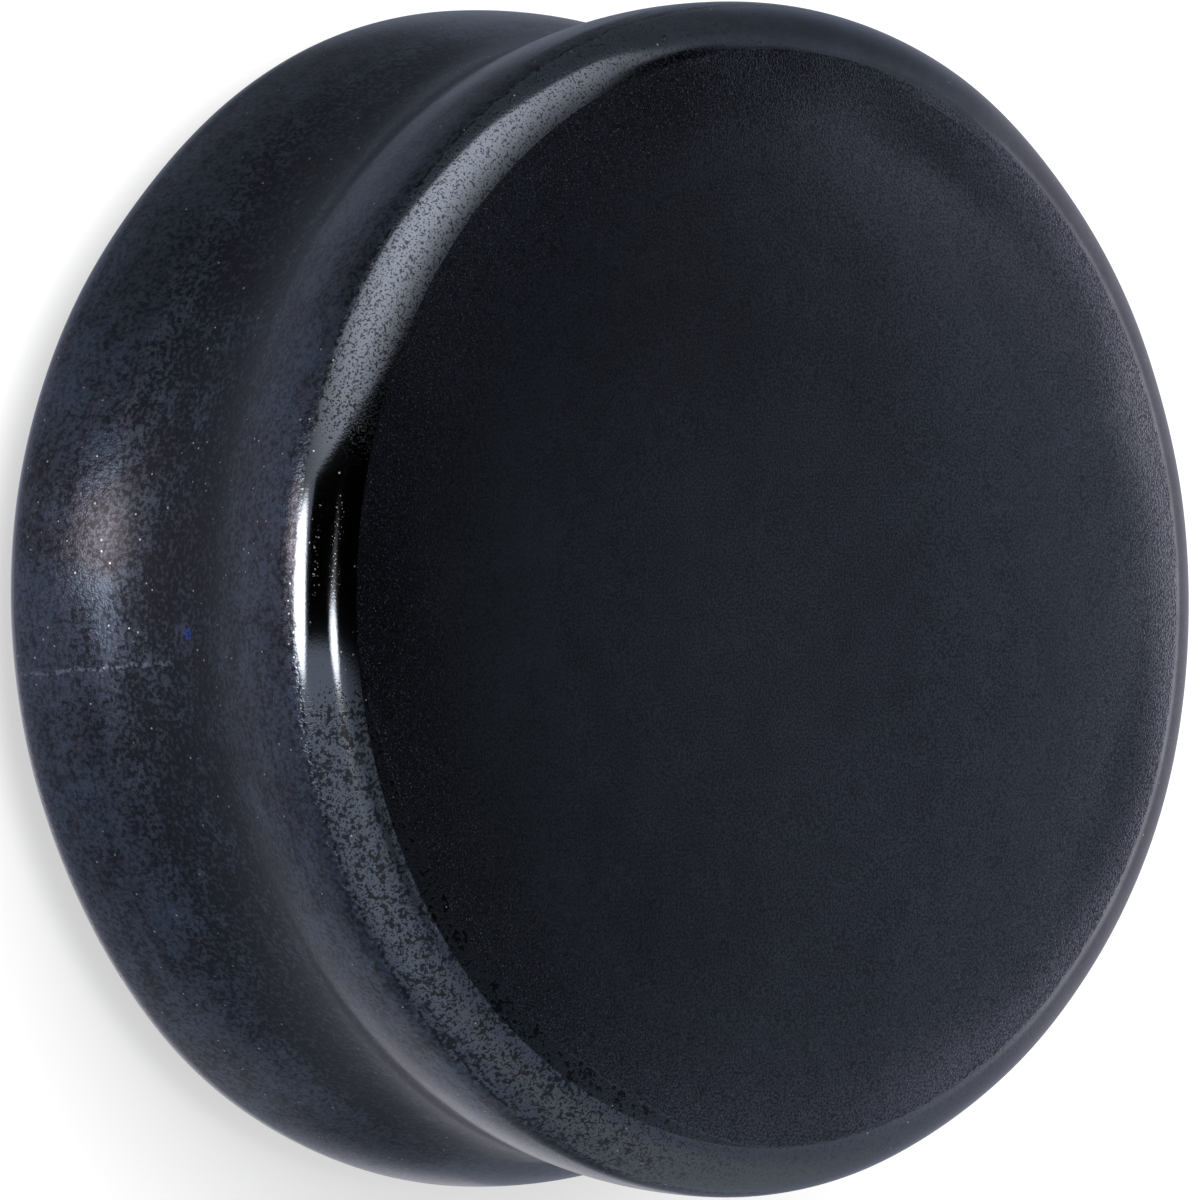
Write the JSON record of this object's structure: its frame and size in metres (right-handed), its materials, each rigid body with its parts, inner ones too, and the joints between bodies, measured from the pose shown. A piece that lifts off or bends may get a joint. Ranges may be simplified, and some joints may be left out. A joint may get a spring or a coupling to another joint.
{
  "type": "ear plug gauge",
  "caption": "Solid double-flared ear plug of polished dark stone: a round saddle waist between two rounded flares, with gently crowned faces.",
  "frame": {"origin": "middle of the flat on the lower face, where the plug rests on a surface", "axes": "+Z along the plug's axis, from the face it rests on to the face that shows; X and Y lie across it and are alike"},
  "size_m": [0.0264, 0.0264, 0.0122],
  "materials": {
    "haematite": "polished haematite, dark blue-grey with a metallic lustre, finely grained, with a satin lapped face"
  },
  "bodies": {
    "root": {"stone_plug": "haematite"}
  },
  "joints": []
}
